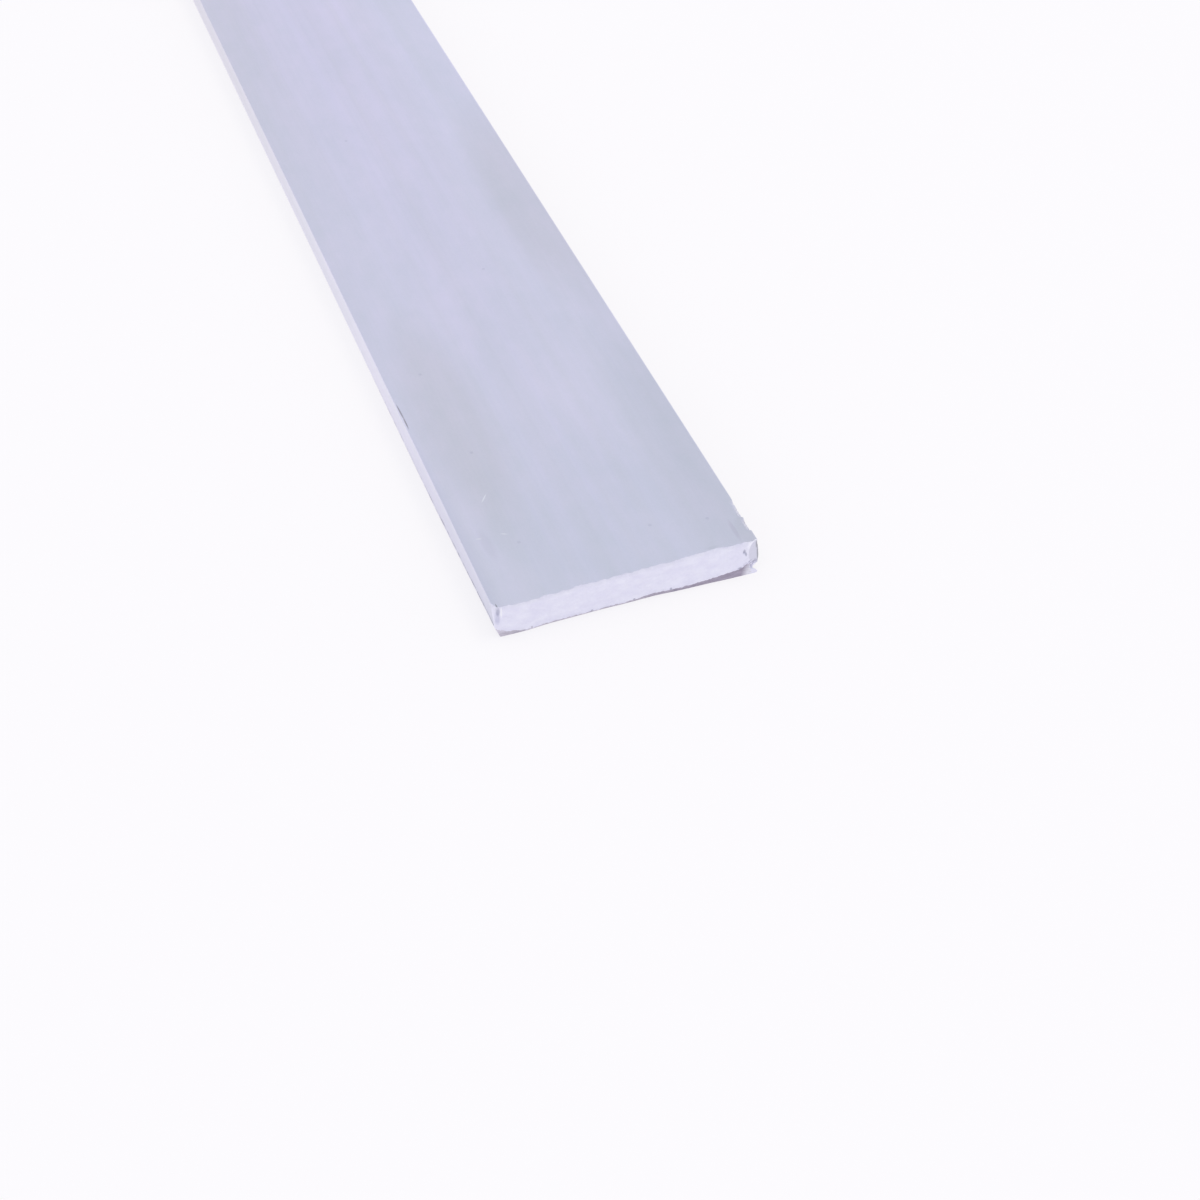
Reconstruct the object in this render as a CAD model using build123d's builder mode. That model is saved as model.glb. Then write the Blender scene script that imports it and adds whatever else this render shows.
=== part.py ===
"""Aluminium flat bar, 20 x 3 mm, a 300 mm cut length.

The section has crisp top edges and soft bottom ones, as its die left them. One end was sawn by
hand and never dressed: the cut wanders, its corners are worn, and its foot is torn off the
floor at one corner. The other end is a plain square cut.

The bar lies flat: +X runs across it, +Y along it, +Z up, and the hand-sawn end faces -Y.
The origin is the middle of the underside. All sizes are in millimetres.
"""

import os
from math import sqrt

from build123d import *

# The stock
bar_width = 20.0
bar_thickness = 3.0
bar_length = 300.0
top_radius = 0.1
bottom_radius = 0.6

# The hand-sawn end: how far the cut falls back from the bar's foremost point, at even steps
# from the left edge to the right one, along the top of the end and along its foot
top_fall = (0.20, 0.00, 0.06, 0.15, 0.16, 0.18, 0.16, 0.18, 0.27, 0.15, 0.07)
foot_fall = (0.35, 0.26, 0.32, 0.33, 0.32, 0.30, 0.28, 0.16, 0.06, 0.03, 0.07)
waste_length = 6.0
waste_margin = 2.0

# The right-hand corner, worn away from top to foot
worn_top_width = 0.25
worn_foot_width = 1.25
worn_front_depth = 0.2
worn_side_depth = 0.32

# The right-hand corner's foot, torn off the floor
torn_width = 1.1
torn_height = 0.85
torn_length = 2.0

# The left-hand bottom edge, rolled under more and more towards the cut
roll_height = 1.15
roll_width = 0.4
roll_length = 28.0

# The left-hand corner, chipped at its top
chip_width = 0.4
chip_height = 1.6
chip_depth = 0.8

# A shallow nick in the left-hand top edge
nick_from_end = 23.7
nick_length = 2.8
nick_depth = 0.08

left = -bar_width / 2
right = bar_width / 2
front = -bar_length / 2
middle = Vector(0, 0, bar_thickness / 2)


def cut_points(falls):
    """The points of one edge of the saw cut, evenly spaced across the bar and its margins."""
    steps = len(falls) - 1
    inside = [(left + bar_width * step / steps, front + fall) for step, fall in enumerate(falls)]
    first = (left - waste_margin, front + falls[0])
    last = (right + waste_margin, front + falls[-1])
    return [first, *inside, last]


def slanted(falls, other_falls):
    """Falls carried on past the bar by one margin, so the cut keeps its slant to the waste."""
    share = waste_margin / bar_thickness
    return [fall + (fall - other) * share for fall, other in zip(falls, other_falls)]


def facet(first, second, third):
    """The plane through three points, facing the middle of the bar."""
    corner = Vector(*first)
    normal = (Vector(*second) - corner).cross(Vector(*third) - corner)
    if normal.dot(middle - corner) < 0:
        normal = -normal
    return Plane(origin=corner, z_dir=normal)


with BuildPart() as flat_bar:
    # The section, drawn at the square-cut end
    with BuildSketch(Plane.XZ.offset(front)) as section:
        with Locations((0, bar_thickness / 2)):
            Rectangle(bar_width, bar_thickness)
        fillet(section.vertices().group_by(Axis.Y)[-1], top_radius)
        fillet(section.vertices().group_by(Axis.Y)[0], bottom_radius)
    extrude(amount=bar_length)

    # The waste in front of the saw cut, lofted between the cut's foot and its top
    for height, falls in (
        (-waste_margin, slanted(foot_fall, top_fall)),
        (bar_thickness + waste_margin, slanted(top_fall, foot_fall)),
    ):
        points = cut_points(falls)
        with BuildSketch(Plane.XY.offset(height)):
            with BuildLine():
                Spline(*points)
                Polyline(
                    points[-1],
                    (points[-1][0], front - waste_length),
                    (points[0][0], front - waste_length),
                    points[0],
                )
            make_face()
    loft(mode=Mode.SUBTRACT)

    # The worn right-hand corner, and its torn foot
    split(
        bisect_by=facet(
            (right - worn_top_width, front + worn_front_depth, bar_thickness),
            (right - worn_foot_width, front, 0),
            (right, front + worn_side_depth, bar_thickness / 2),
        )
    )
    split(
        bisect_by=facet(
            (right - torn_width, front, 0),
            (right, front, torn_height),
            (right, front + torn_length, 0),
        )
    )

    # The rolled left-hand bottom edge
    split(
        bisect_by=facet(
            (left, front, roll_height),
            (left + roll_width, front, 0),
            (left, front + roll_length, 0),
        )
    )

    # The chipped left-hand corner
    split(
        bisect_by=facet(
            (left, front + foot_fall[0], bar_thickness - chip_height),
            (left + chip_width, front, bar_thickness),
            (left, front + chip_depth, bar_thickness),
        )
    )

    # The nick, a scallop cut across the rounded edge by a large cylinder
    nick_radius = nick_length**2 / (8 * nick_depth)
    outward = Vector(-1, 0, 1) / sqrt(2)
    edge_to_centre = nick_radius - nick_depth - top_radius * (sqrt(2) - 1)
    nick_centre = Vector(left, front + nick_from_end, bar_thickness) + outward * edge_to_centre
    with Locations(Plane(origin=nick_centre, x_dir=outward, z_dir=(1, 0, 1))):
        Cylinder(nick_radius, 2 * bar_thickness, mode=Mode.SUBTRACT)

flat_bar.part.label = "flat_bar"

os.makedirs("parts", exist_ok=True)
export_step(flat_bar.part, "parts/flat_bar.step")
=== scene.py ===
import bpy
import bmesh
from math import pi, radians, sqrt
from mathutils import Matrix, Vector, noise


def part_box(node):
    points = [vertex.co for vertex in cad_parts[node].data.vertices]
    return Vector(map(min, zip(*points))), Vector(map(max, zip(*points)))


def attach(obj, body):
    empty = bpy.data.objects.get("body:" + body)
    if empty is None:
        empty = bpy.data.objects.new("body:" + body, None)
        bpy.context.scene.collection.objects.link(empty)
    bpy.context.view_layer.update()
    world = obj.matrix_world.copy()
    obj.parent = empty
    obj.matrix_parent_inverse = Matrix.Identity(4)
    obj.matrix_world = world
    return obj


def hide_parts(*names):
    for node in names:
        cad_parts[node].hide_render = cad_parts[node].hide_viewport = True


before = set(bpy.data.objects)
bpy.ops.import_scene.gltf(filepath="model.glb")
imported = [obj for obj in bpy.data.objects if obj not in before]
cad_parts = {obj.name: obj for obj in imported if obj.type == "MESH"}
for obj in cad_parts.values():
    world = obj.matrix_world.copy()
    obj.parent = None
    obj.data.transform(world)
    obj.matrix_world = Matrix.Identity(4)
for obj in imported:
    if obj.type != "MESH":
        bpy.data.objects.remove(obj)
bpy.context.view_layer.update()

# ---------------------------------------------------------------------------------------
# Flat bar: one length of aluminium pressed through a die, so its faces and sides are smooth
# and carry faint lines along the bar, with crisp top edges and softer bottom ones. One end
# was sawn by hand: the cut wanders, its foot is torn off the floor, and its corners are worn.
# ---------------------------------------------------------------------------------------
MM = 0.001
bar_low, bar_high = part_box("flat_bar")
left, right = bar_low.x, bar_high.x
front = bar_low.y
floor, top = bar_low.z, bar_high.z
bar_width = right - left
bar_length = bar_high.y - front
bar_thickness = top - floor
end_middle = Vector((0, front, (floor + top) / 2))
top_radius = 0.1 * MM
bottom_radius = 0.6 * MM

# The section is a grid this fine. Along the bar the mesh is fine at the ends and the nick:
# each pair is a distance from the sawn end, and the spacing of the mesh up to it
grid_step = 0.1 * MM
lengthwise = (
    (1.2 * MM, 0.1 * MM),
    (5.0 * MM, 0.2 * MM),
    (22.0 * MM, 1.7 * MM),
    (26.0 * MM, 0.2 * MM),
    (297.0 * MM, 9.0 * MM),
    (299.5 * MM, 0.5 * MM),
    (bar_length, 0.25 * MM),
)
# A cut that passes a point as near as this goes through it
snap_reach = 0.001 * MM
# Points as near as this are one point
merge_reach = 0.01 * MM


def pick(piece):
    """Selects one piece alone, for the operators that act on what is selected."""
    bpy.ops.object.select_all(action="DESELECT")
    piece.select_set(True)
    bpy.context.view_layer.objects.active = piece


def edit(piece):
    """Enters edit mode on one piece with nothing in it selected."""
    pick(piece)
    bpy.ops.object.mode_set(mode="EDIT")
    bpy.ops.mesh.select_mode(type="VERT")
    bpy.ops.mesh.select_all(action="DESELECT")


def select_where(piece, kind, test):
    """Selects the vertices or faces of the piece in edit mode that pass a test."""
    bpy.ops.mesh.select_mode(type=kind)
    bpy.ops.mesh.select_all(action="DESELECT")
    mesh = bmesh.from_edit_mesh(piece.data)
    parts = {"VERT": mesh.verts, "FACE": mesh.faces}[kind]
    for part in parts:
        if test(part):
            part.select_set(True)
    mesh.select_flush_mode()
    bmesh.update_edit_mesh(piece.data)


def cut_across(axis, low, high):
    """Cuts all that shows in edit mode along planes a grid step apart on one axis."""
    cuts = round((high - low) / grid_step)
    for cut in range(1, cuts):
        place = Vector()
        place[axis] = low + (high - low) * cut / cuts
        normal = Vector()
        normal[axis] = 1
        bpy.ops.mesh.select_all(action="SELECT")
        bpy.ops.mesh.bisect(plane_co=place, plane_no=normal, threshold=snap_reach)


# The section: a plane stood up at the sawn end, its corners rounded, and cut into a grid
bpy.ops.object.select_all(action="DESELECT")
bpy.ops.mesh.primitive_plane_add(size=1, location=end_middle, rotation=(pi / 2, 0, 0))
bar = bpy.context.object
bar.name = "bar_metal"
bar.scale = (bar_width, bar_thickness, 1)
bpy.ops.object.transform_apply(location=True, rotation=True, scale=True)
edit(bar)
for radius, segments, upwards in ((top_radius, 2, 1), (bottom_radius, 6, -1)):
    select_where(bar, "VERT", lambda vertex: (vertex.co.z - end_middle.z) * upwards > 0)
    bpy.ops.mesh.bevel(offset=radius, segments=segments, affect="VERTICES")
cut_across(0, left, right)
cut_across(2, floor, top)
bpy.ops.mesh.select_all(action="SELECT")
bpy.ops.mesh.remove_doubles(threshold=merge_reach)

# The length: the section is drawn out step by step to the square far end
travelled = 0
for distance, spacing in lengthwise:
    steps = max(1, round((distance - travelled) / spacing))
    for _ in range(steps):
        bpy.ops.mesh.extrude_region_move(
            TRANSFORM_OT_translate={"value": (0, (distance - travelled) / steps, 0)}
        )
    travelled = distance
bpy.ops.mesh.select_all(action="SELECT")
bpy.ops.mesh.normals_make_consistent(inside=False)
bpy.ops.object.mode_set(mode="OBJECT")


def apply_modifier(piece, kind, **settings):
    """Adds a modifier with its settings to a piece and applies it."""
    pick(piece)
    modifier = piece.modifiers.new(kind.lower(), kind)
    for name, value in settings.items():
        setattr(modifier, name, value)
    bpy.ops.object.modifier_apply(modifier=modifier.name)


# The saw cut wanders: how far it falls back from the bar's foremost point, in mm at even
# steps from the left edge to the right one, along its top, along the lip where the saw broke
# out of the metal, and along the torn foot; and how far that lip stands above the floor
top_fall = (0.20, 0.00, 0.06, 0.15, 0.16, 0.18, 0.16, 0.18, 0.27, 0.15, 0.07)
lip_fall = (0.35, 0.26, 0.32, 0.33, 0.32, 0.30, 0.28, 0.16, 0.06, 0.03, 0.07)
foot_fall = (0.35, 0.29, 0.38, 0.39, 0.40, 0.35, 0.35, 0.22, 0.14, 0.03, 0.02)
lip_rise = (1.15, 0.17, 0.17, 0.16, 0.16, 0.18, 0.33, 0.31, 0.46, 0.62, 1.02)
columns = len(top_fall)

# A lattice round the end pushes it there. The push dies away over this much of the bar
wander_reach = 3 * MM
bpy.ops.object.add(type="LATTICE", location=end_middle + Vector((0, wander_reach / 2, 0)))
cage = bpy.context.object
cage.scale = (bar_width, wander_reach, bar_thickness)
cage.data.points_u = columns
cage.data.points_v = 2
cage.data.points_w = 3
cage.data.interpolation_type_u = "KEY_CATMULL_ROM"
cage.data.interpolation_type_v = "KEY_LINEAR"
cage.data.interpolation_type_w = "KEY_LINEAR"
for column in range(columns):
    # the lattice's points go across first, then back, then up, from -0.5 to 0.5 each way
    foot_point, lip_point, top_point = (
        cage.data.points[column + row * 2 * columns].co_deform for row in range(3)
    )
    foot_point.y += foot_fall[column] * MM / wander_reach
    lip_point.y += lip_fall[column] * MM / wander_reach
    lip_point.z += lip_rise[column] * MM / bar_thickness - 0.5
    top_point.y += top_fall[column] * MM / wander_reach
bpy.context.view_layer.update()
apply_modifier(bar, "LATTICE", object=cage)
bpy.data.objects.remove(cage)

# The worn corners: planes through three points on the bar's edges slice them away
worn_top_width = 0.25 * MM
worn_foot_width = 1.25 * MM
worn_front_depth = 0.2 * MM
worn_side_depth = 0.32 * MM
torn_width = 1.1 * MM
torn_height = 0.85 * MM
torn_length = 2 * MM
roll_height = 1.15 * MM
roll_width = 0.4 * MM
roll_length = 28 * MM
chip_width = 0.4 * MM
chip_height = 1.6 * MM
chip_depth = 0.8 * MM
facets = (
    # the right-hand corner, worn from top to foot
    (
        (right - worn_top_width, front + worn_front_depth, top),
        (right - worn_foot_width, front, floor),
        (right, front + worn_side_depth, end_middle.z),
    ),
    # and torn off the floor under that
    (
        (right - torn_width, front, floor),
        (right, front, floor + torn_height),
        (right, front + torn_length, floor),
    ),
    # the left-hand bottom edge, rolled under more and more towards the cut
    (
        (left, front, floor + roll_height),
        (left + roll_width, front, floor),
        (left, front + roll_length, floor),
    ),
    # the left-hand corner, chipped at the top
    (
        (left, front + lip_fall[0] * MM, top - chip_height),
        (left + chip_width, front, top),
        (left, front + chip_depth, top),
    ),
)
edit(bar)
for first, second, third in facets:
    corner = Vector(first)
    outward = (Vector(second) - corner).cross(Vector(third) - corner).normalized()
    if outward.dot(corner) < outward.dot(Vector((0, 0, end_middle.z))):
        outward = -outward
    bpy.ops.mesh.select_all(action="SELECT")
    bpy.ops.mesh.bisect(
        plane_co=corner,
        plane_no=outward,
        use_fill=True,
        clear_outer=True,
        threshold=snap_reach,
    )

# The slices leave faces much larger than the grid's, which are cut into it too, but across
# the bar only as far as the worn corner reaches in from its right-hand side
worn_reach = 1.5 * MM
select_where(bar, "FACE", lambda face: face.calc_area() > (3 * grid_step) ** 2)
bpy.ops.mesh.hide(unselected=True)
cut_across(0, right - worn_reach, right)
cut_across(2, floor, top)
bpy.ops.mesh.reveal(select=False)


def nudge(piece, place, reach, move):
    """Moves the vertex nearest a place, and smoothly less its neighbours within reach."""
    mesh = bmesh.from_edit_mesh(piece.data)
    nearest = min(mesh.verts, key=lambda vertex: (vertex.co - Vector(place)).length)
    select_where(piece, "VERT", lambda vertex: vertex.index == nearest.index)
    bpy.ops.transform.translate(
        value=move,
        use_proportional_edit=True,
        proportional_edit_falloff="SMOOTH",
        proportional_size=reach,
    )


# The sawn end's small damage: its place, how far the metal round it follows, and its move
damage = (
    # the right-hand corner bulges sideways
    ((right, front + 0.4 * MM, floor + 1.4 * MM), 1.5 * MM, (0.14 * MM, 0, 0)),
    # a gouge beside it
    ((right - 1.0 * MM, front, floor + 2.05 * MM), 0.25 * MM, (0, 0.12 * MM, 0)),
    # a shred of metal left at its torn foot
    ((right - 1.05 * MM, front, floor + 0.1 * MM), 0.8 * MM, (1.0 * MM, -0.05 * MM, 0)),
)
for place, reach, move in damage:
    nudge(bar, place, reach, move)

# Bites out of the right-hand top edge: how far each is from the sawn end, and how deep, in mm
bites = (
    (1.66, 0.2),
    (2.08, 0.12),
    (2.5, 0.16),
    (3.12, 0.2),
    (3.5, 0.1),
    (4.0, 0.16),
    (4.6, 0.12),
)
bite_reach = 0.35 * MM
for along, depth in bites:
    nudge(bar, (right, front + along * MM, top), bite_reach, (-depth * MM, 0, -depth * MM))
bpy.ops.object.mode_set(mode="OBJECT")

# The saw's own unevenness, as the size of its grain, its direction and its strength: soft
# ripples over the whole cut, and a finer raggedness along its lip and its top edge, which
# fades out from the full height to the last one
unevenness = (
    ("ripple", 0.5 * MM, "Y", 0.12 * MM, floor, floor),
    ("ragged_lip", 0.22 * MM, "Z", 0.2 * MM, floor + 0.9 * MM, floor + 0.95 * MM),
    ("ragged_edge", 0.4 * MM, "Y", 0.3 * MM, top, top - 0.6 * MM),
)
# It reaches this far back from the foremost point, and starts this far above the floor
uneven_depth = 0.55 * MM
uneven_start = 0.05 * MM
for name, grain_size, direction, strength, full_height, last_height in unevenness:
    cloud = bpy.data.textures.new(name, "CLOUDS")
    cloud.noise_scale = grain_size
    group = bar.vertex_groups.new(name=name)
    for vertex in bar.data.vertices:
        if vertex.co.y < front + uneven_depth and vertex.co.z > floor + uneven_start:
            if full_height == last_height:
                weight = 1
            else:
                weight = (vertex.co.z - last_height) / (full_height - last_height)
            group.add([vertex.index], max(0, min(weight, 1)), "REPLACE")
    apply_modifier(
        bar,
        "DISPLACE",
        texture=cloud,
        texture_coords="LOCAL",
        vertex_group=name,
        direction=direction,
        strength=strength,
    )

# The nick in the left-hand top edge: the scallop of a large cylinder lying across the edge
nick_from_end = 23.7 * MM
nick_length = 2.8 * MM
nick_depth = 0.08 * MM
nick_radius = nick_length**2 / (8 * nick_depth)
slope = Vector((-1, 0, 1)).normalized()
nick_centre = Vector((left, front + nick_from_end, top))
nick_centre += slope * (nick_radius - nick_depth - top_radius * (sqrt(2) - 1))
bpy.ops.mesh.primitive_cylinder_add(
    vertices=256,
    radius=nick_radius,
    depth=2 * bar_thickness,
    location=nick_centre,
    rotation=(0, radians(45), 0),
)
nick_tool = bpy.context.object
apply_modifier(bar, "BOOLEAN", object=nick_tool, operation="DIFFERENCE", solver="EXACT")
bpy.data.objects.remove(nick_tool)

# Smooth shading, with every edge that turns more than this left crisp
crisp_angle = radians(25)
pick(bar)
bpy.ops.object.shade_smooth_by_angle(angle=crisp_angle)


def linear(code):
    """The linear colour of an sRGB hex code such as c8cad9."""
    channels = [int(code[start : start + 2], 16) / 255 for start in (0, 2, 4)]
    return [c / 12.92 if c <= 0.04045 else ((c + 0.055) / 1.055) ** 2.4 for c in channels] + [1]


def add_node(tree, kind, inputs=None, **settings):
    """Adds a node with its settings; inputs holds values, or sockets to link from."""
    made = tree.nodes.new(kind)
    for name, value in settings.items():
        setattr(made, name, value)
    for name, value in (inputs or {}).items():
        if isinstance(value, bpy.types.NodeSocket):
            tree.links.new(value, made.inputs[name])
        else:
            made.inputs[name].default_value = value
    return made


def pattern(tree, surface, size, seed, spread=0.2):
    """Noise from 0 to 1, in patches of about the given size in mm along X, Y and Z."""
    in_patches = add_node(
        tree,
        "ShaderNodeVectorMath",
        {0: surface, 1: [side * MM for side in size]},
        operation="DIVIDE",
    )
    texture = add_node(
        tree,
        "ShaderNodeTexNoise",
        {"Vector": in_patches.outputs["Vector"], "W": seed, "Scale": 1, "Detail": 2},
        noise_dimensions="4D",
    )
    return add_node(
        tree,
        "ShaderNodeMapRange",
        {"Value": texture.outputs[0], "From Min": 0.5 - spread, "From Max": 0.5 + spread},
    ).outputs["Result"]


def marks(tree, surface, spots, core=0.5, broken_by=1):
    """A mask that fades from 1 in each spot's core to 0 at its rim, broken up by a pattern.

    A spot is a place, its half sizes in mm and its turn about Z in radians.
    """
    mask = 0
    for place, half_size, turn in spots:
        local = add_node(
            tree,
            "ShaderNodeMapping",
            {
                "Vector": surface,
                "Location": place,
                "Rotation": (0, 0, turn),
                "Scale": [side * MM for side in half_size],
            },
            vector_type="TEXTURE",
        )
        reach = add_node(
            tree, "ShaderNodeVectorMath", {0: local.outputs["Vector"]}, operation="LENGTH"
        )
        spot = add_node(
            tree,
            "ShaderNodeMapRange",
            {"Value": reach.outputs["Value"], "From Min": 1, "From Max": core},
        )
        mask = add_node(
            tree, "ShaderNodeMath", {0: spot.outputs["Result"], 1: mask}, operation="MAXIMUM"
        ).outputs["Value"]
    return add_node(
        tree, "ShaderNodeMath", {0: mask, 1: broken_by}, operation="MULTIPLY"
    ).outputs["Value"]


def on_top(across, along):
    """A place on the top face, in mm from its middle line and from the sawn end."""
    return (across * MM, front + along * MM, top)


# the cut lies about this far behind the bar's foremost point
usual_fall = 0.2 * MM


def on_cut(across, up):
    """A place on the sawn end, in mm from its middle line and from the floor."""
    return (across * MM, front + usual_fall, floor + up * MM)


def metal(name):
    """Adds a metal to the bar, and gives its node tree, its shader and its coordinates."""
    made = bpy.data.materials.new(name)
    made.use_nodes = True
    bar.data.materials.append(made)
    shader = made.node_tree.nodes["Principled BSDF"]
    shader.inputs["Metallic"].default_value = 1
    surface = add_node(made.node_tree, "ShaderNodeTexCoord").outputs["Object"]
    return made.node_tree, shader, surface


# A Mix node has sockets of the same names for each kind of data; those for colours are these
mix_share, mix_under, mix_over, mix_result = 0, 6, 7, 2


def finish(tree, shader, base, layers, relief, depth):
    """Colours a metal, and raises its surface by a relief of the given depth in mm.

    A layer is a mask, a colour and a blend: MULTIPLY darkens what is under it, as a stain or as
    painted shade, and MIX covers it.
    """
    colour = linear(base)
    for mask, over, blend in layers:
        colour = add_node(
            tree,
            "ShaderNodeMix",
            {mix_share: mask, mix_under: colour, mix_over: linear(over)},
            data_type="RGBA",
            blend_type=blend,
        ).outputs[mix_result]
    tree.links.new(colour, shader.inputs["Base Color"])
    bump = add_node(
        tree, "ShaderNodeBump", {"Height": relief, "Strength": 1, "Distance": depth * MM}
    )
    tree.links.new(bump.outputs["Normal"], shader.inputs["Normal"])


# Mill-finish aluminium, as it leaves the die: a soft grey sheen with faint lines along the
# bar, cloudy patches of oxide between lavender and green, and marks from handling; painted
# shade darkens the left-hand side and its foot, the right-hand edge and its worn corner, the
# nick, the bites and a dent by the cut
tree, shader, surface = metal("mill_finish_aluminium")
die_lines = pattern(tree, surface, (0.3, 70, 0.3), seed=1)
bands = pattern(tree, surface, (1.5, 120, 1.5), seed=2)
clouds = pattern(tree, surface, (4, 14, 4), seed=3)
patches = pattern(tree, surface, (1.2, 2.5, 1.2), seed=4)
# aluminium's grain is finer than this; it is drawn as coarse as it needs to show
grain = pattern(tree, surface, (0.14, 0.2, 0.14), seed=5)

far_sheen = marks(tree, surface, [(on_top(-1, 190), (10, 180, 10), 0)])
dull_left = marks(
    tree,
    surface,
    [
        (on_top(-9, 150), (6, 130, 6), 0),
        (on_top(-6.5, 22), (3.5, 18, 3.5), 0),
    ],
)
dull_right = marks(tree, surface, [(on_top(9.5, 50), (5, 20, 5), 0)])
dull_front = marks(tree, surface, [(on_top(0.5, 4), (10, 18, 9), 0)])
# painted shade on the right-hand side and the top's right-hand edge, near the sawn end
right_edge_shade = marks(tree, surface, [(on_top(11, 6), (6, 34, 6), 0)])
# painted shade on the left-hand side near the sawn end, darkest at the floor
left_side_shade = marks(tree, surface, [((left - 1 * MM, front, floor), (2.5, 36, 5), 0)])
# painted contact shadow along the ragged lower edge of the left-hand side, which climbs as the
# edge is rolled under
foot_contact_shadow = marks(
    tree,
    surface,
    [
        ((left, front + along * MM, floor + up * MM), (0.5, reach, 0.22), 0)
        for along, up, reach in (
            (1.5, 1.2, 2.6),
            (4.5, 1.07, 2.6),
            (8, 0.93, 3),
            (12, 0.77, 3.4),
            (16, 0.6, 4),
            (25, 0.5, 11),
        )
    ],
    broken_by=pattern(tree, surface, (1, 0.9, 0.5), seed=10, spread=0.1),
)
# painted shade where the top's right-hand corner is worn away and turns from the light
rubbed_corner_shade = marks(tree, surface, [(on_top(10.4, 1.2), (1.6, 2.6, 1), 0)], core=0.8)
crease = marks(tree, surface, [(on_top(8.81, 1.65), (0.2, 1.5, 0.3), 0)])
# a smudge on the top, and painted shade at a small dent in the top edge of the cut
smudge_and_dent_shade = marks(
    tree,
    surface,
    [
        (on_top(-8.3, 6.8), (0.5, 2.2, 1), 0.05),
        (on_top(6.6, 0.5), (0.6, 0.2, 1), 0),
    ],
)
specks = marks(
    tree,
    surface,
    [
        (on_top(across, along), (0.17, 0.19, 0.3), 0)
        for across, along in (
            (7.5, 3.65),
            (-6.1, 6.25),
            (-6.2, 17.5),
            (-7.05, 28.6),
            (3.35, 4.5),
            (2.1, 41),
            (-3.3, 66),
        )
    ],
)
# painted shade in the nick, at the top of the chipped corner and in the bites
edge_dent_shade = marks(
    tree,
    surface,
    [
        # the nick in the left-hand edge, in two strokes
        (on_top(-9.86, 24.4), (0.07, 1.3, 0.2), 0.03),
        (on_top(-9.84, 23.0), (0.07, 1.0, 0.2), 0),
        # the top of the chipped corner
        (on_top(-9.7, 0.33), (0.05, 0.28, 0.2), 0),
        # the bites in the right-hand edge
        *[(on_top(9.97, along), (0.1, 0.14, 0.3), 0) for along, _ in bites],
    ],
)
scratches = marks(
    tree,
    surface,
    [
        (on_top(-6.97, 11.95), (0.07, 0.62, 0.3), -0.62),
        (on_top(-8.7, 7.68), (0.27, 0.06, 0.3), -0.27),
        (on_top(-6.82, 7.53), (0.32, 0.06, 0.3), -0.46),
    ],
)
finish(
    tree,
    shader,
    "f2eeff",
    (
        (bands, "fbfcf9", "MULTIPLY"),
        (clouds, "fafcfb", "MULTIPLY"),
        (patches, "fbfdfc", "MULTIPLY"),
        (die_lines, "fdfdfe", "MULTIPLY"),
        (grain, "fdfdfd", "MULTIPLY"),
        (far_sheen, "fffcff", "MULTIPLY"),
        (dull_left, "f9f9f6", "MULTIPLY"),
        (dull_right, "f8f8f5", "MULTIPLY"),
        (dull_front, "f9fbfb", "MULTIPLY"),
        (right_edge_shade, "f4f6f4", "MULTIPLY"),
        (left_side_shade, "eef0f3", "MULTIPLY"),
        (foot_contact_shadow, "c8c6ce", "MULTIPLY"),
        (rubbed_corner_shade, "fbfbfa", "MULTIPLY"),
        (crease, "f7f5f7", "MULTIPLY"),
        (smudge_and_dent_shade, "fafafa", "MULTIPLY"),
        (specks, "f4f4f6", "MULTIPLY"),
        (edge_dent_shade, "c2c0bf", "MULTIPLY"),
        (scratches, "f6f6fd", "MIX"),
    ),
    relief=die_lines,
    depth=0.002,
)
dullness = add_node(
    tree, "ShaderNodeMapRange", {"Value": die_lines, "To Min": 0.35, "To Max": 0.41}
)
tree.links.new(dullness.outputs["Result"], shader.inputs["Roughness"])

# Sawn aluminium: bright fresh metal, mottled where the teeth smeared it, with small dark pits;
# painted shade makes the worn corner at the right greyer and darkens its edge, the gouge and
# the chip at the left, and painted highlights run along the rims of that corner and the chip
tree, shader, surface = metal("sawn_aluminium")
shader.inputs["Roughness"].default_value = 0.42
smears = pattern(tree, surface, (1.1, 1.1, 0.6), seed=6)
flecks = pattern(tree, surface, (0.25, 0.25, 0.2), seed=7)
# painted highlight along the rim of the worn right-hand corner
corner_rim_highlight = marks(tree, surface, [(on_cut(10, 2.6), (0.86, 2, 0.75), 0)], core=0.75)
# painted shade on the worn right-hand corner, whose facet turns away from the light
worn_corner_shade = marks(tree, surface, [(on_cut(10, 1.85), (0.76, 2, 1.1), 0)], core=0.9)
# painted shade along the right-hand edge of the worn corner, where it turns out of sight
corner_edge_shade = marks(
    tree,
    surface,
    [
        (on_cut(10.1, 1.7), (0.12, 2, 1.3), 0),
        (on_cut(10.04, 2.45), (0.2, 2, 0.5), 0),
    ],
)
top_shade = marks(tree, surface, [(on_cut(0, 3.05), (30, 3, 0.5), 0)], core=0)
# painted shade in the chipped left-hand corner, deepest near its top and lighter below
chip_shade = marks(tree, surface, [(on_cut(-9.66, 2.5), (0.18, 0.9, 0.55), 0)])
chip_foot_shade = marks(tree, surface, [(on_cut(-9.72, 1.85), (0.24, 0.9, 0.8), 0)])
# painted highlight on the rim of the chip
chip_rim_highlight = marks(tree, surface, [(on_cut(-9.42, 2.4), (0.09, 0.6, 0.65), 0)])
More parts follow.
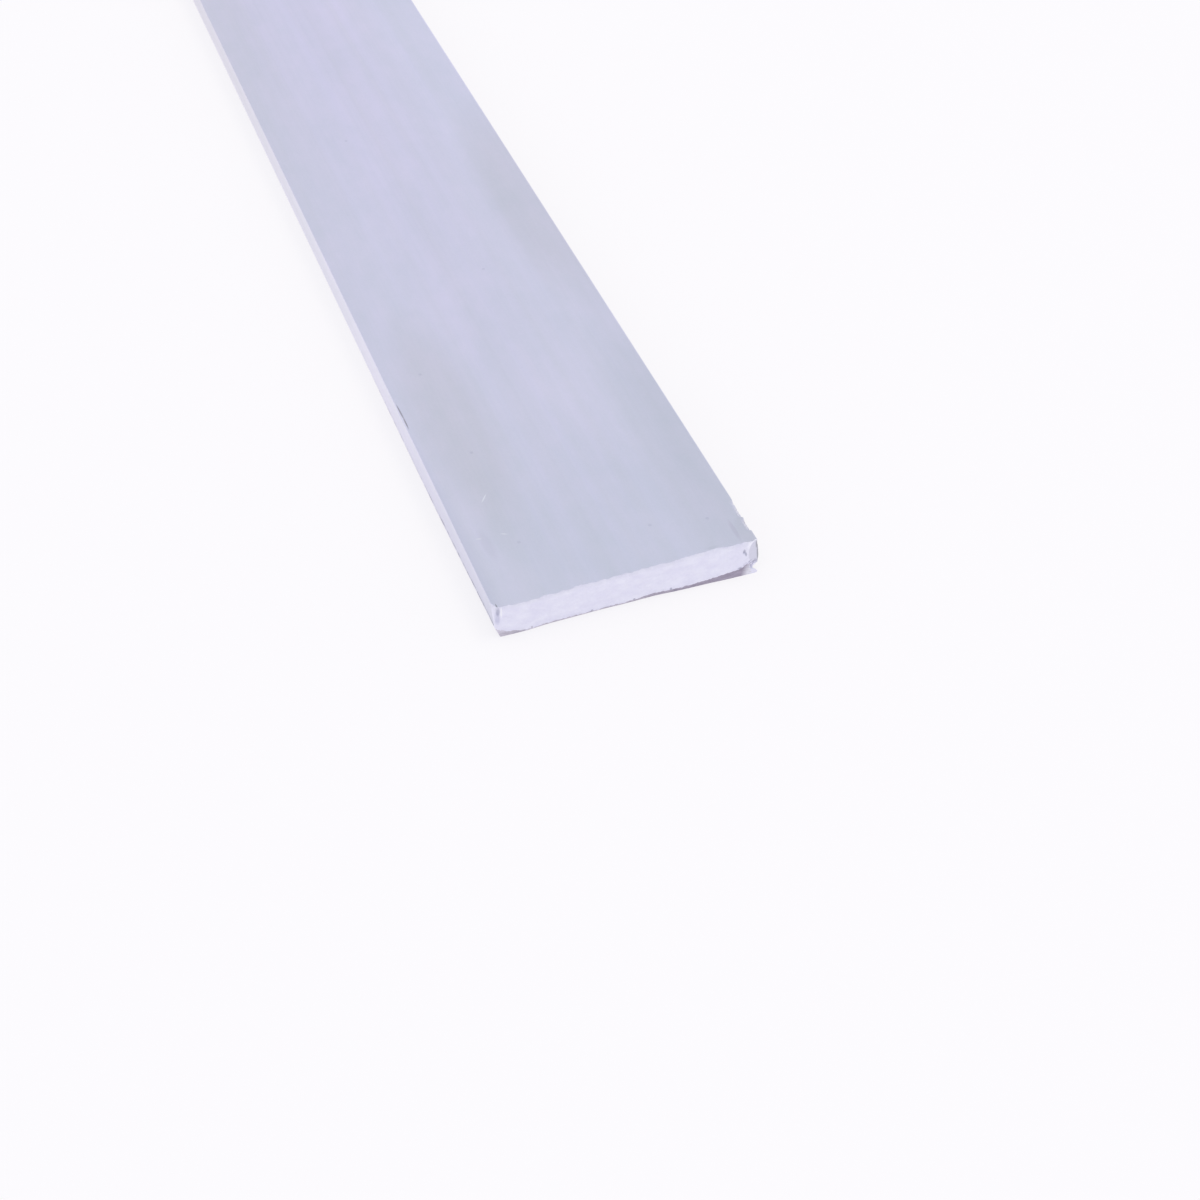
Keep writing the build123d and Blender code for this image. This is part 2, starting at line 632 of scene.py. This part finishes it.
# painted shade in the gouge beside the worn corner, and small dark pits along the cut
pits_and_gouge_shade = marks(
    tree,
    surface,
    [
        (on_cut(8.96, 2.15), (0.13, 0.5, 0.3), 0),
        (on_cut(9.08, 1.88), (0.1, 0.5, 0.22), 0),
        (on_cut(8.6, 0.75), (0.25, 0.5, 0.15), 0),
        (on_cut(3.3, 0.36), (0.12, 0.5, 0.18), 0),
        (on_cut(0.5, 0.22), (0.14, 0.5, 0.14), 0),
        (on_cut(-2.7, 0.2), (0.12, 0.5, 0.14), 0),
    ],
)
# crumbs of torn metal at the foot of the worn corner
crumbs = marks(
    tree,
    surface,
    [(on_cut(9.45, 0.85), (0.75, 2, 0.42), 0)],
    broken_by=pattern(tree, surface, (0.28, 0.5, 0.16), seed=9, spread=0.06),
)
finish(
    tree,
    shader,
    "eeeefb",
    (
        (smears, "f6f5fa", "MULTIPLY"),
        (top_shade, "f5f6f6", "MULTIPLY"),
        (flecks, "fbfbfc", "MULTIPLY"),
        (corner_rim_highlight, "f4f4ff", "MIX"),
        (worn_corner_shade, "d9d9e8", "MIX"),
        (chip_shade, "dadbe1", "MULTIPLY"),
        (chip_foot_shade, "eaebf1", "MULTIPLY"),
        (pits_and_gouge_shade, "d0d1d6", "MULTIPLY"),
        (crumbs, "cfced8", "MULTIPLY"),
        (corner_edge_shade, "cccdcb", "MULTIPLY"),
        (chip_rim_highlight, "f4f4fc", "MIX"),
    ),
    relief=flecks,
    depth=0.007,
)

# Torn aluminium: the ragged, rough strip that the saw left at the foot, painted dark as the
# shade under the lip; the painted shade is lighter where the tear is shallow, with a painted
# glint at the left-hand corner and painted light where the gap opens at the right-hand corner
tree, shader, surface = metal("torn_aluminium_painted_shade")
shader.inputs["Roughness"].default_value = 0.6
rags = pattern(tree, surface, (0.9, 0.4, 0.14), seed=8)
# the painted shade is lighter towards the left, where the tear is shallow
shallow_tear_light_shade = marks(tree, surface, [(on_cut(-10, 0), (15, 3, 3), 0)])
# painted glint on the tear at the left-hand corner, where the bottom edge rolls under
tear_glint = marks(tree, surface, [(on_cut(-9.6, 0.75), (1.8, 3, 0.52), 0)])
# painted light at the right-hand corner, where light reaches in under the raised foot
gap_light = marks(tree, surface, [(on_cut(9.6, 0), (0.95, 3, 1.2), 0)])
finish(
    tree,
    shader,
    "bab2c3",
    (
        (shallow_tear_light_shade, "d8d3de", "MIX"),
        (tear_glint, "e8e4ef", "MIX"),
        (rags, "e6e5e8", "MULTIPLY"),
        (gap_light, "e8e7f0", "MIX"),
    ),
    relief=rags,
    depth=0.04,
)

# Which faces are sawn and which are torn is read from how far they face along the bar, where
# -1 is straight to the front, and from where they lie
sawn_facing = -0.35
torn_facing = -0.25
far_end_facing = 0.9
sawn_depth = 1.5 * MM
# the right-hand corner is worn and not torn
untorn_width = 0.6 * MM
# the lip is ragged by up to this many mm, in rags about this wide
rag_height = 0.13
rag_width = 0.55 * MM
# the tear at the left-hand corner is short and steep: less than 1 makes it steeper
corner_steepness = 0.4


def lip_height(x):
    """How far the ragged lip stands above the floor at a place across the bar."""
    place = (x - left) / bar_width * (columns - 1)
    column = max(0, min(int(place), columns - 2))
    share = place - column
    if column == 0:
        share = max(0, share) ** corner_steepness
    rag = rag_height * noise.noise(Vector((x / rag_width, 0, 0)))
    return (lip_rise[column] * (1 - share) + lip_rise[column + 1] * share + rag) * MM


def is_sawn(face):
    """Whether a face is part of the cut, or of the square far end."""
    in_cut = face.normal.y < sawn_facing and face.calc_center_median().y < front + sawn_depth
    return in_cut or face.normal.y > far_end_facing


def is_torn(face):
    """Whether a face of the cut lies under its lip."""
    centre = face.calc_center_median()
    under_lip = face.normal.y < torn_facing and centre.z < floor + lip_height(centre.x)
    return under_lip and centre.y < front + sawn_depth and centre.x < right - untorn_width


edit(bar)
for name, belongs in (("sawn_aluminium", is_sawn), ("torn_aluminium_painted_shade", is_torn)):
    select_where(bar, "FACE", belongs)
    bar.active_material_index = bar.data.materials.find(name)
    bpy.ops.object.material_slot_assign()
bpy.ops.object.mode_set(mode="OBJECT")

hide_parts("flat_bar")
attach(bar, "root")

# ---------------------------------------------------------------------------------------
# Floor: a wide sheet of matt white paper that the bar lies on. It takes the bar's shadow.
# Where the camera or the metal sees it, most of its white is its own glow.
# ---------------------------------------------------------------------------------------
paper_size = 12
glow_share = 0.75
bpy.ops.object.select_all(action="DESELECT")
bpy.ops.mesh.primitive_plane_add(size=paper_size, location=(0, 0, floor))
ground = bpy.context.object
ground.name = "floor"
paper = bpy.data.materials.new("white_paper")
paper.use_nodes = True
paper_tree = paper.node_tree
lit = paper_tree.nodes["Principled BSDF"]
lit.inputs["Base Color"].default_value = linear("efebee")
lit.inputs["Roughness"].default_value = 1
lit.inputs["Specular IOR Level"].default_value = 0
glow = add_node(paper_tree, "ShaderNodeEmission", {"Color": linear("fefdff"), "Strength": 1})


def seen_directly(tree):
    """1 for what the camera sees, straight or in metal and glass, and 0 for what lights."""
    rays = add_node(tree, "ShaderNodeLightPath")
    seen = rays.outputs["Is Camera Ray"]
    for kind in ("Is Glossy Ray", "Is Transmission Ray"):
        seen = add_node(
            tree, "ShaderNodeMath", {0: seen, 1: rays.outputs[kind]}, operation="MAXIMUM"
        ).outputs["Value"]
    return seen


seen_glow = add_node(
    paper_tree,
    "ShaderNodeMath",
    {0: seen_directly(paper_tree), 1: glow_share},
    operation="MULTIPLY",
)
white = add_node(
    paper_tree,
    "ShaderNodeMixShader",
    {0: seen_glow.outputs["Value"], 1: lit.outputs["BSDF"], 2: glow.outputs["Emission"]},
)
paper_output = paper_tree.nodes["Material Output"]
paper_tree.links.new(white.outputs["Shader"], paper_output.inputs["Surface"])
ground.data.materials.append(paper)

# ---------------------------------------------------------------------------------------
# Light: a plain pale sky, like the walls and ceiling of a small white studio, and one soft
# warm lamp high up on the right of the sawn end.
# ---------------------------------------------------------------------------------------
world = bpy.data.worlds.new("studio")
world.use_nodes = True
bpy.context.scene.world = world
sky_tree = world.node_tree
outlook = add_node(sky_tree, "ShaderNodeTexCoord").outputs["Generated"]
axes = add_node(sky_tree, "ShaderNodeSeparateXYZ", {0: outlook})


def sky(stops):
    """A colour for each height above the horizon, from 0 at the horizon to 1 overhead."""
    ramp = add_node(sky_tree, "ShaderNodeValToRGB", {0: axes.outputs["Z"]})
    for height, _ in stops[2:]:
        ramp.color_ramp.elements.new(height)
    for element, (height, colour) in zip(ramp.color_ramp.elements, stops):
        element.position = height
        element.color = (*colour, 1)
    return ramp.outputs["Color"]


# what the metal and the camera see: pale walls, dimmer above, and a soft ceiling
seen_sky = sky(
    (
        (0.00, (0.92, 0.92, 0.95)),
        (0.25, (0.85, 0.86, 0.93)),
        (0.42, (0.75, 0.77, 0.88)),
        (0.66, (0.56, 0.60, 0.665)),
        (0.80, (0.79, 0.81, 0.83)),
        (1.00, (0.76, 0.77, 0.78)),
    )
)
# what lights the paper: mostly the ceiling
lighting_sky = sky(
    (
        (0.00, (0.86, 0.87, 0.92)),
        (0.42, (1.01, 1.03, 1.17)),
        (0.66, (0.68, 0.73, 0.81)),
        (0.80, (0.80, 0.82, 0.86)),
        (0.93, (1.45, 1.44, 1.42)),
    )
)
# and more of it from the left and the front than from the right and the back
brighter_side = (-0.2, -0.22, 0)
lean = add_node(
    sky_tree, "ShaderNodeVectorMath", {0: outlook, 1: brighter_side}, operation="DOT_PRODUCT"
)
level = add_node(
    sky_tree, "ShaderNodeMath", {0: lean.outputs["Value"], 1: 1}, operation="ADD"
)
leaning_sky = add_node(
    sky_tree,
    "ShaderNodeVectorMath",
    {0: lighting_sky, "Scale": level.outputs["Value"]},
    operation="SCALE",
)
whole_sky = add_node(
    sky_tree,
    "ShaderNodeMix",
    {
        mix_share: seen_directly(sky_tree),
        mix_under: leaning_sky.outputs["Vector"],
        mix_over: seen_sky,
    },
    data_type="RGBA",
).outputs[mix_result]
sky_tree.links.new(whole_sky, sky_tree.nodes["Background"].inputs["Color"])

bpy.ops.object.light_add(type="AREA", location=(0.55, -0.2, 1.4))
softbox = bpy.context.object
softbox.data.size = 0.5
softbox.data.energy = 2.5
softbox.data.color = (1.0, 0.93, 0.72)
softbox.rotation_mode = "QUATERNION"
softbox.rotation_quaternion = (softbox.location - Vector((0, front, 0))).to_track_quat("Z", "Y")

# ---------------------------------------------------------------------------------------
# Camera: it stands close before the sawn end, a little to the left, and looks down along
# the bar. Its picture is square, and the focal length is in that picture's own pixels.
# ---------------------------------------------------------------------------------------
picture_width = 1200
focal_pixels = 2170.3
sensor_width = 36
eye = Vector((-37.45, -108.75, 105.00)) * MM + Vector((0, front, floor))
pitch, yaw, roll = radians(42.207), radians(17.972), radians(-2.572)
bpy.ops.object.camera_add()
camera = bpy.context.object
camera.data.sensor_width = sensor_width
camera.data.lens = sensor_width * focal_pixels / picture_width
camera.data.clip_start = 1 * MM
camera.matrix_world = (
    Matrix.Translation(eye)
    @ Matrix.Rotation(-yaw, 4, "Z")
    @ Matrix.Rotation(pi / 2 - pitch, 4, "X")
    @ Matrix.Rotation(roll, 4, "Z")
)
bpy.context.scene.camera = camera
bpy.context.scene.view_settings.view_transform = "Standard"
